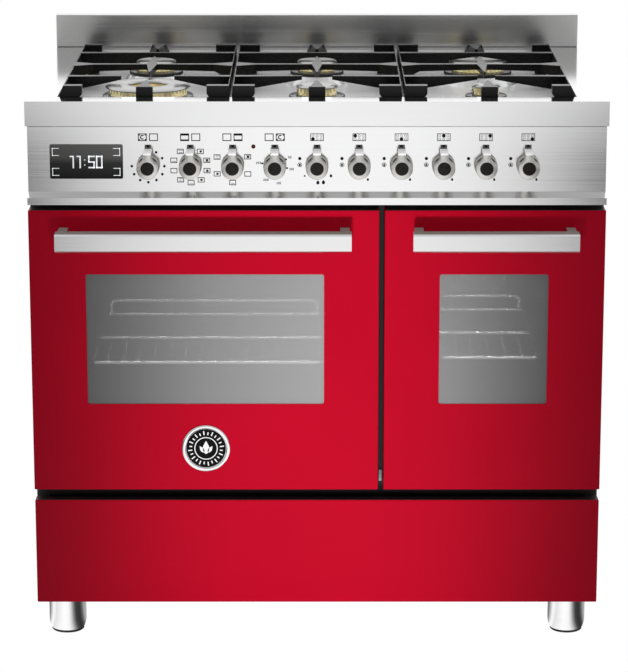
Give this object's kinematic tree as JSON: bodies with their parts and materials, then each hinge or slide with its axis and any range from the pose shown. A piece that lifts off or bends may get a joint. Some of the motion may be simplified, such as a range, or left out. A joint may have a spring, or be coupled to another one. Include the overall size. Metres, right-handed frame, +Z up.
{
  "type": "freestanding gas range",
  "caption": "Freestanding range: gas burners under cast-iron grates, push-and-turn knobs, side-by-side drop-down oven doors with windows, and a storage drawer on round legs.",
  "frame": {"origin": "floor level, centre of the bounding box", "axes": "+Z up, front towards -Y, +X to the right seen from the front"},
  "size_m": [0.9, 0.67, 0.9556],
  "materials": {
    "brushed_steel": "horizontally brushed stainless steel",
    "pipe_steel": "plain steel pipe",
    "chrome": "bright chrome plate",
    "knob_metal": "satin chrome",
    "red_paint": "glossy red paint on steel",
    "black_paint": "satin black enamel",
    "grey_paint": "satin grey paint",
    "oven_enamel": "dark speckled vitreous enamel",
    "cast_iron": "black enamelled cast iron",
    "brass": "polished brass",
    "burner_cap": "satin metal",
    "door_glass": "tinted tempered glass",
    "inner_glass": "clear tempered glass",
    "display": "dark glossy display window"
  },
  "bodies": {
    "range_body": {"base_frame": "black_paint", "left_side_panel": "grey_paint", "right_side_panel": "grey_paint", "rear_panel": "grey_paint", "worktop": "brushed_steel", "splashback": "brushed_steel", "control_panel": "brushed_steel", "front_frame": "black_paint", "left_oven_liner": "oven_enamel", "right_oven_liner": "oven_enamel", "clock_display": "display", "gas_manifold": "pipe_steel", "left_front_burner": "brass", "left_rear_burner": "brass", "centre_front_burner": "brass", "centre_rear_burner": "brass", "right_rear_burner": "brass", "right_front_burner": "brass", "left_front_cap": "burner_cap", "left_rear_cap": "burner_cap", "centre_front_cap": "burner_cap", "centre_rear_cap": "burner_cap", "right_rear_cap": "burner_cap", "right_front_cap": "burner_cap"},
    "left_door": {"left_door_panel": "red_paint", "left_door_glass": "door_glass", "left_door_inner_glass": "inner_glass", "left_door_handle": "brushed_steel", "badge": "chrome"},
    "right_door": {"right_door_panel": "red_paint", "right_door_glass": "door_glass", "right_door_inner_glass": "inner_glass", "right_door_handle": "brushed_steel"},
    "drawer": {"drawer_front": "red_paint", "drawer_box": "grey_paint"},
    "left_shelf": {"left_oven_shelf": "chrome"},
    "right_shelf": {"right_oven_shelf": "chrome"},
    "left_pan_grate": {"left_grate": "cast_iron"},
    "centre_pan_grate": {"centre_grate": "cast_iron"},
    "right_pan_grate": {"right_grate": "cast_iron"},
    "front_left_foot": {"front_left_leg": "chrome"},
    "front_right_foot": {"front_right_leg": "chrome"},
    "rear_left_foot": {"rear_left_leg": "chrome"},
    "rear_right_foot": {"rear_right_leg": "chrome"},
    "left_thermostat_knob_body": {"left_thermostat_knob": "knob_metal"},
    "left_function_knob_body": {"left_function_knob": "knob_metal"},
    "right_function_knob_body": {"right_function_knob": "knob_metal"},
    "right_thermostat_knob_body": {"right_thermostat_knob": "knob_metal"},
    "left_front_valve": {"left_front_spindle": "brass"},
    "left_front_dial": {"left_front_knob": "knob_metal"},
    "left_rear_valve": {"left_rear_spindle": "brass"},
    "left_rear_dial": {"left_rear_knob": "knob_metal"},
    "centre_front_valve": {"centre_front_spindle": "brass"},
    "centre_front_dial": {"centre_front_knob": "knob_metal"},
    "centre_rear_valve": {"centre_rear_spindle": "brass"},
    "centre_rear_dial": {"centre_rear_knob": "knob_metal"},
    "right_rear_valve": {"right_rear_spindle": "brass"},
    "right_rear_dial": {"right_rear_knob": "knob_metal"},
    "right_front_valve": {"right_front_spindle": "brass"},
    "right_front_dial": {"right_front_knob": "knob_metal"}
  },
  "joints": [
    {"name": "left_door_hinge", "type": "hinge", "parent": "range_body", "child": "left_door", "pos_m": [-0.1755, -0.265, 0.29], "axis": [1, 0, 0], "range_deg": [0, 90], "stiffness_Nm_per_rad": 8, "springref_deg": -17.19},
    {"name": "right_door_hinge", "type": "hinge", "parent": "range_body", "child": "right_door", "pos_m": [0.27625, -0.265, 0.29], "axis": [1, 0, 0], "range_deg": [0, 90], "stiffness_Nm_per_rad": 5.5, "springref_deg": -17.19},
    {"name": "drawer_slide", "type": "slide", "parent": "range_body", "child": "drawer", "axis": [0, -1, 0], "range_m": [0, 0.34]},
    {"name": "left_shelf_slide", "type": "slide", "parent": "range_body", "child": "left_shelf", "axis": [0, -1, 0], "range_m": [0, 0.015]},
    {"name": "right_shelf_slide", "type": "slide", "parent": "range_body", "child": "right_shelf", "axis": [0, -1, 0], "range_m": [0, 0.015]},
    {"name": "left_grate_lift", "type": "slide", "parent": "range_body", "child": "left_pan_grate", "axis": [0, 0, 1], "range_m": [0, 0.12]},
    {"name": "centre_grate_lift", "type": "slide", "parent": "range_body", "child": "centre_pan_grate", "axis": [0, 0, 1], "range_m": [0, 0.12]},
    {"name": "right_grate_lift", "type": "slide", "parent": "range_body", "child": "right_pan_grate", "axis": [0, 0, 1], "range_m": [0, 0.12]},
    {"name": "front_left_leg_adjust", "type": "slide", "parent": "range_body", "child": "front_left_foot", "axis": [0, 0, -1], "range_m": [0, 0.03]},
    {"name": "front_right_leg_adjust", "type": "slide", "parent": "range_body", "child": "front_right_foot", "axis": [0, 0, -1], "range_m": [0, 0.03]},
    {"name": "rear_left_leg_adjust", "type": "slide", "parent": "range_body", "child": "rear_left_foot", "axis": [0, 0, -1], "range_m": [0, 0.03]},
    {"name": "rear_right_leg_adjust", "type": "slide", "parent": "range_body", "child": "rear_right_foot", "axis": [0, 0, -1], "range_m": [0, 0.03]},
    {"name": "left_thermostat_knob_turn", "type": "hinge", "parent": "range_body", "child": "left_thermostat_knob_body", "pos_m": [-0.261, -0.256, 0.799], "axis": [0, 1, 0], "range_deg": [0, 270]},
    {"name": "left_function_knob_turn", "type": "hinge", "parent": "range_body", "child": "left_function_knob_body", "pos_m": [-0.19575, -0.256, 0.799], "axis": [0, 1, 0], "continuous": true},
    {"name": "right_function_knob_turn", "type": "hinge", "parent": "range_body", "child": "right_function_knob_body", "pos_m": [-0.1305, -0.256, 0.799], "axis": [0, 1, 0], "continuous": true},
    {"name": "right_thermostat_knob_turn", "type": "hinge", "parent": "range_body", "child": "right_thermostat_knob_body", "pos_m": [-0.06525, -0.256, 0.799], "axis": [0, 1, 0], "range_deg": [0, 270]},
    {"name": "left_front_push", "type": "slide", "parent": "range_body", "child": "left_front_valve", "axis": [0, 1, 0], "range_m": [0, 0.003], "stiffness_N_per_m": 1500},
    {"name": "left_front_turn", "type": "hinge", "parent": "left_front_valve", "child": "left_front_dial", "pos_m": [0, -0.256, 0.799], "axis": [0, -1, 0], "range_deg": [0, 240]},
    {"name": "left_rear_push", "type": "slide", "parent": "range_body", "child": "left_rear_valve", "axis": [0, 1, 0], "range_m": [0, 0.003], "stiffness_N_per_m": 1500},
    {"name": "left_rear_turn", "type": "hinge", "parent": "left_rear_valve", "child": "left_rear_dial", "pos_m": [0.06525, -0.256, 0.799], "axis": [0, -1, 0], "range_deg": [0, 215]},
    {"name": "centre_front_push", "type": "slide", "parent": "range_body", "child": "centre_front_valve", "axis": [0, 1, 0], "range_m": [0, 0.003], "stiffness_N_per_m": 1500},
    {"name": "centre_front_turn", "type": "hinge", "parent": "centre_front_valve", "child": "centre_front_dial", "pos_m": [0.1305, -0.256, 0.799], "axis": [0, -1, 0], "range_deg": [0, 215]},
    {"name": "centre_rear_push", "type": "slide", "parent": "range_body", "child": "centre_rear_valve", "axis": [0, 1, 0], "range_m": [0, 0.003], "stiffness_N_per_m": 1500},
    {"name": "centre_rear_turn", "type": "hinge", "parent": "centre_rear_valve", "child": "centre_rear_dial", "pos_m": [0.19575, -0.256, 0.799], "axis": [0, -1, 0], "range_deg": [0, 215]},
    {"name": "right_rear_push", "type": "slide", "parent": "range_body", "child": "right_rear_valve", "axis": [0, 1, 0], "range_m": [0, 0.003], "stiffness_N_per_m": 1500},
    {"name": "right_rear_turn", "type": "hinge", "parent": "right_rear_valve", "child": "right_rear_dial", "pos_m": [0.261, -0.256, 0.799], "axis": [0, -1, 0], "range_deg": [0, 215]},
    {"name": "right_front_push", "type": "slide", "parent": "range_body", "child": "right_front_valve", "axis": [0, 1, 0], "range_m": [0, 0.003], "stiffness_N_per_m": 1500},
    {"name": "right_front_turn", "type": "hinge", "parent": "right_front_valve", "child": "right_front_dial", "pos_m": [0.32625, -0.256, 0.799], "axis": [0, -1, 0], "range_deg": [0, 215]}
  ]
}
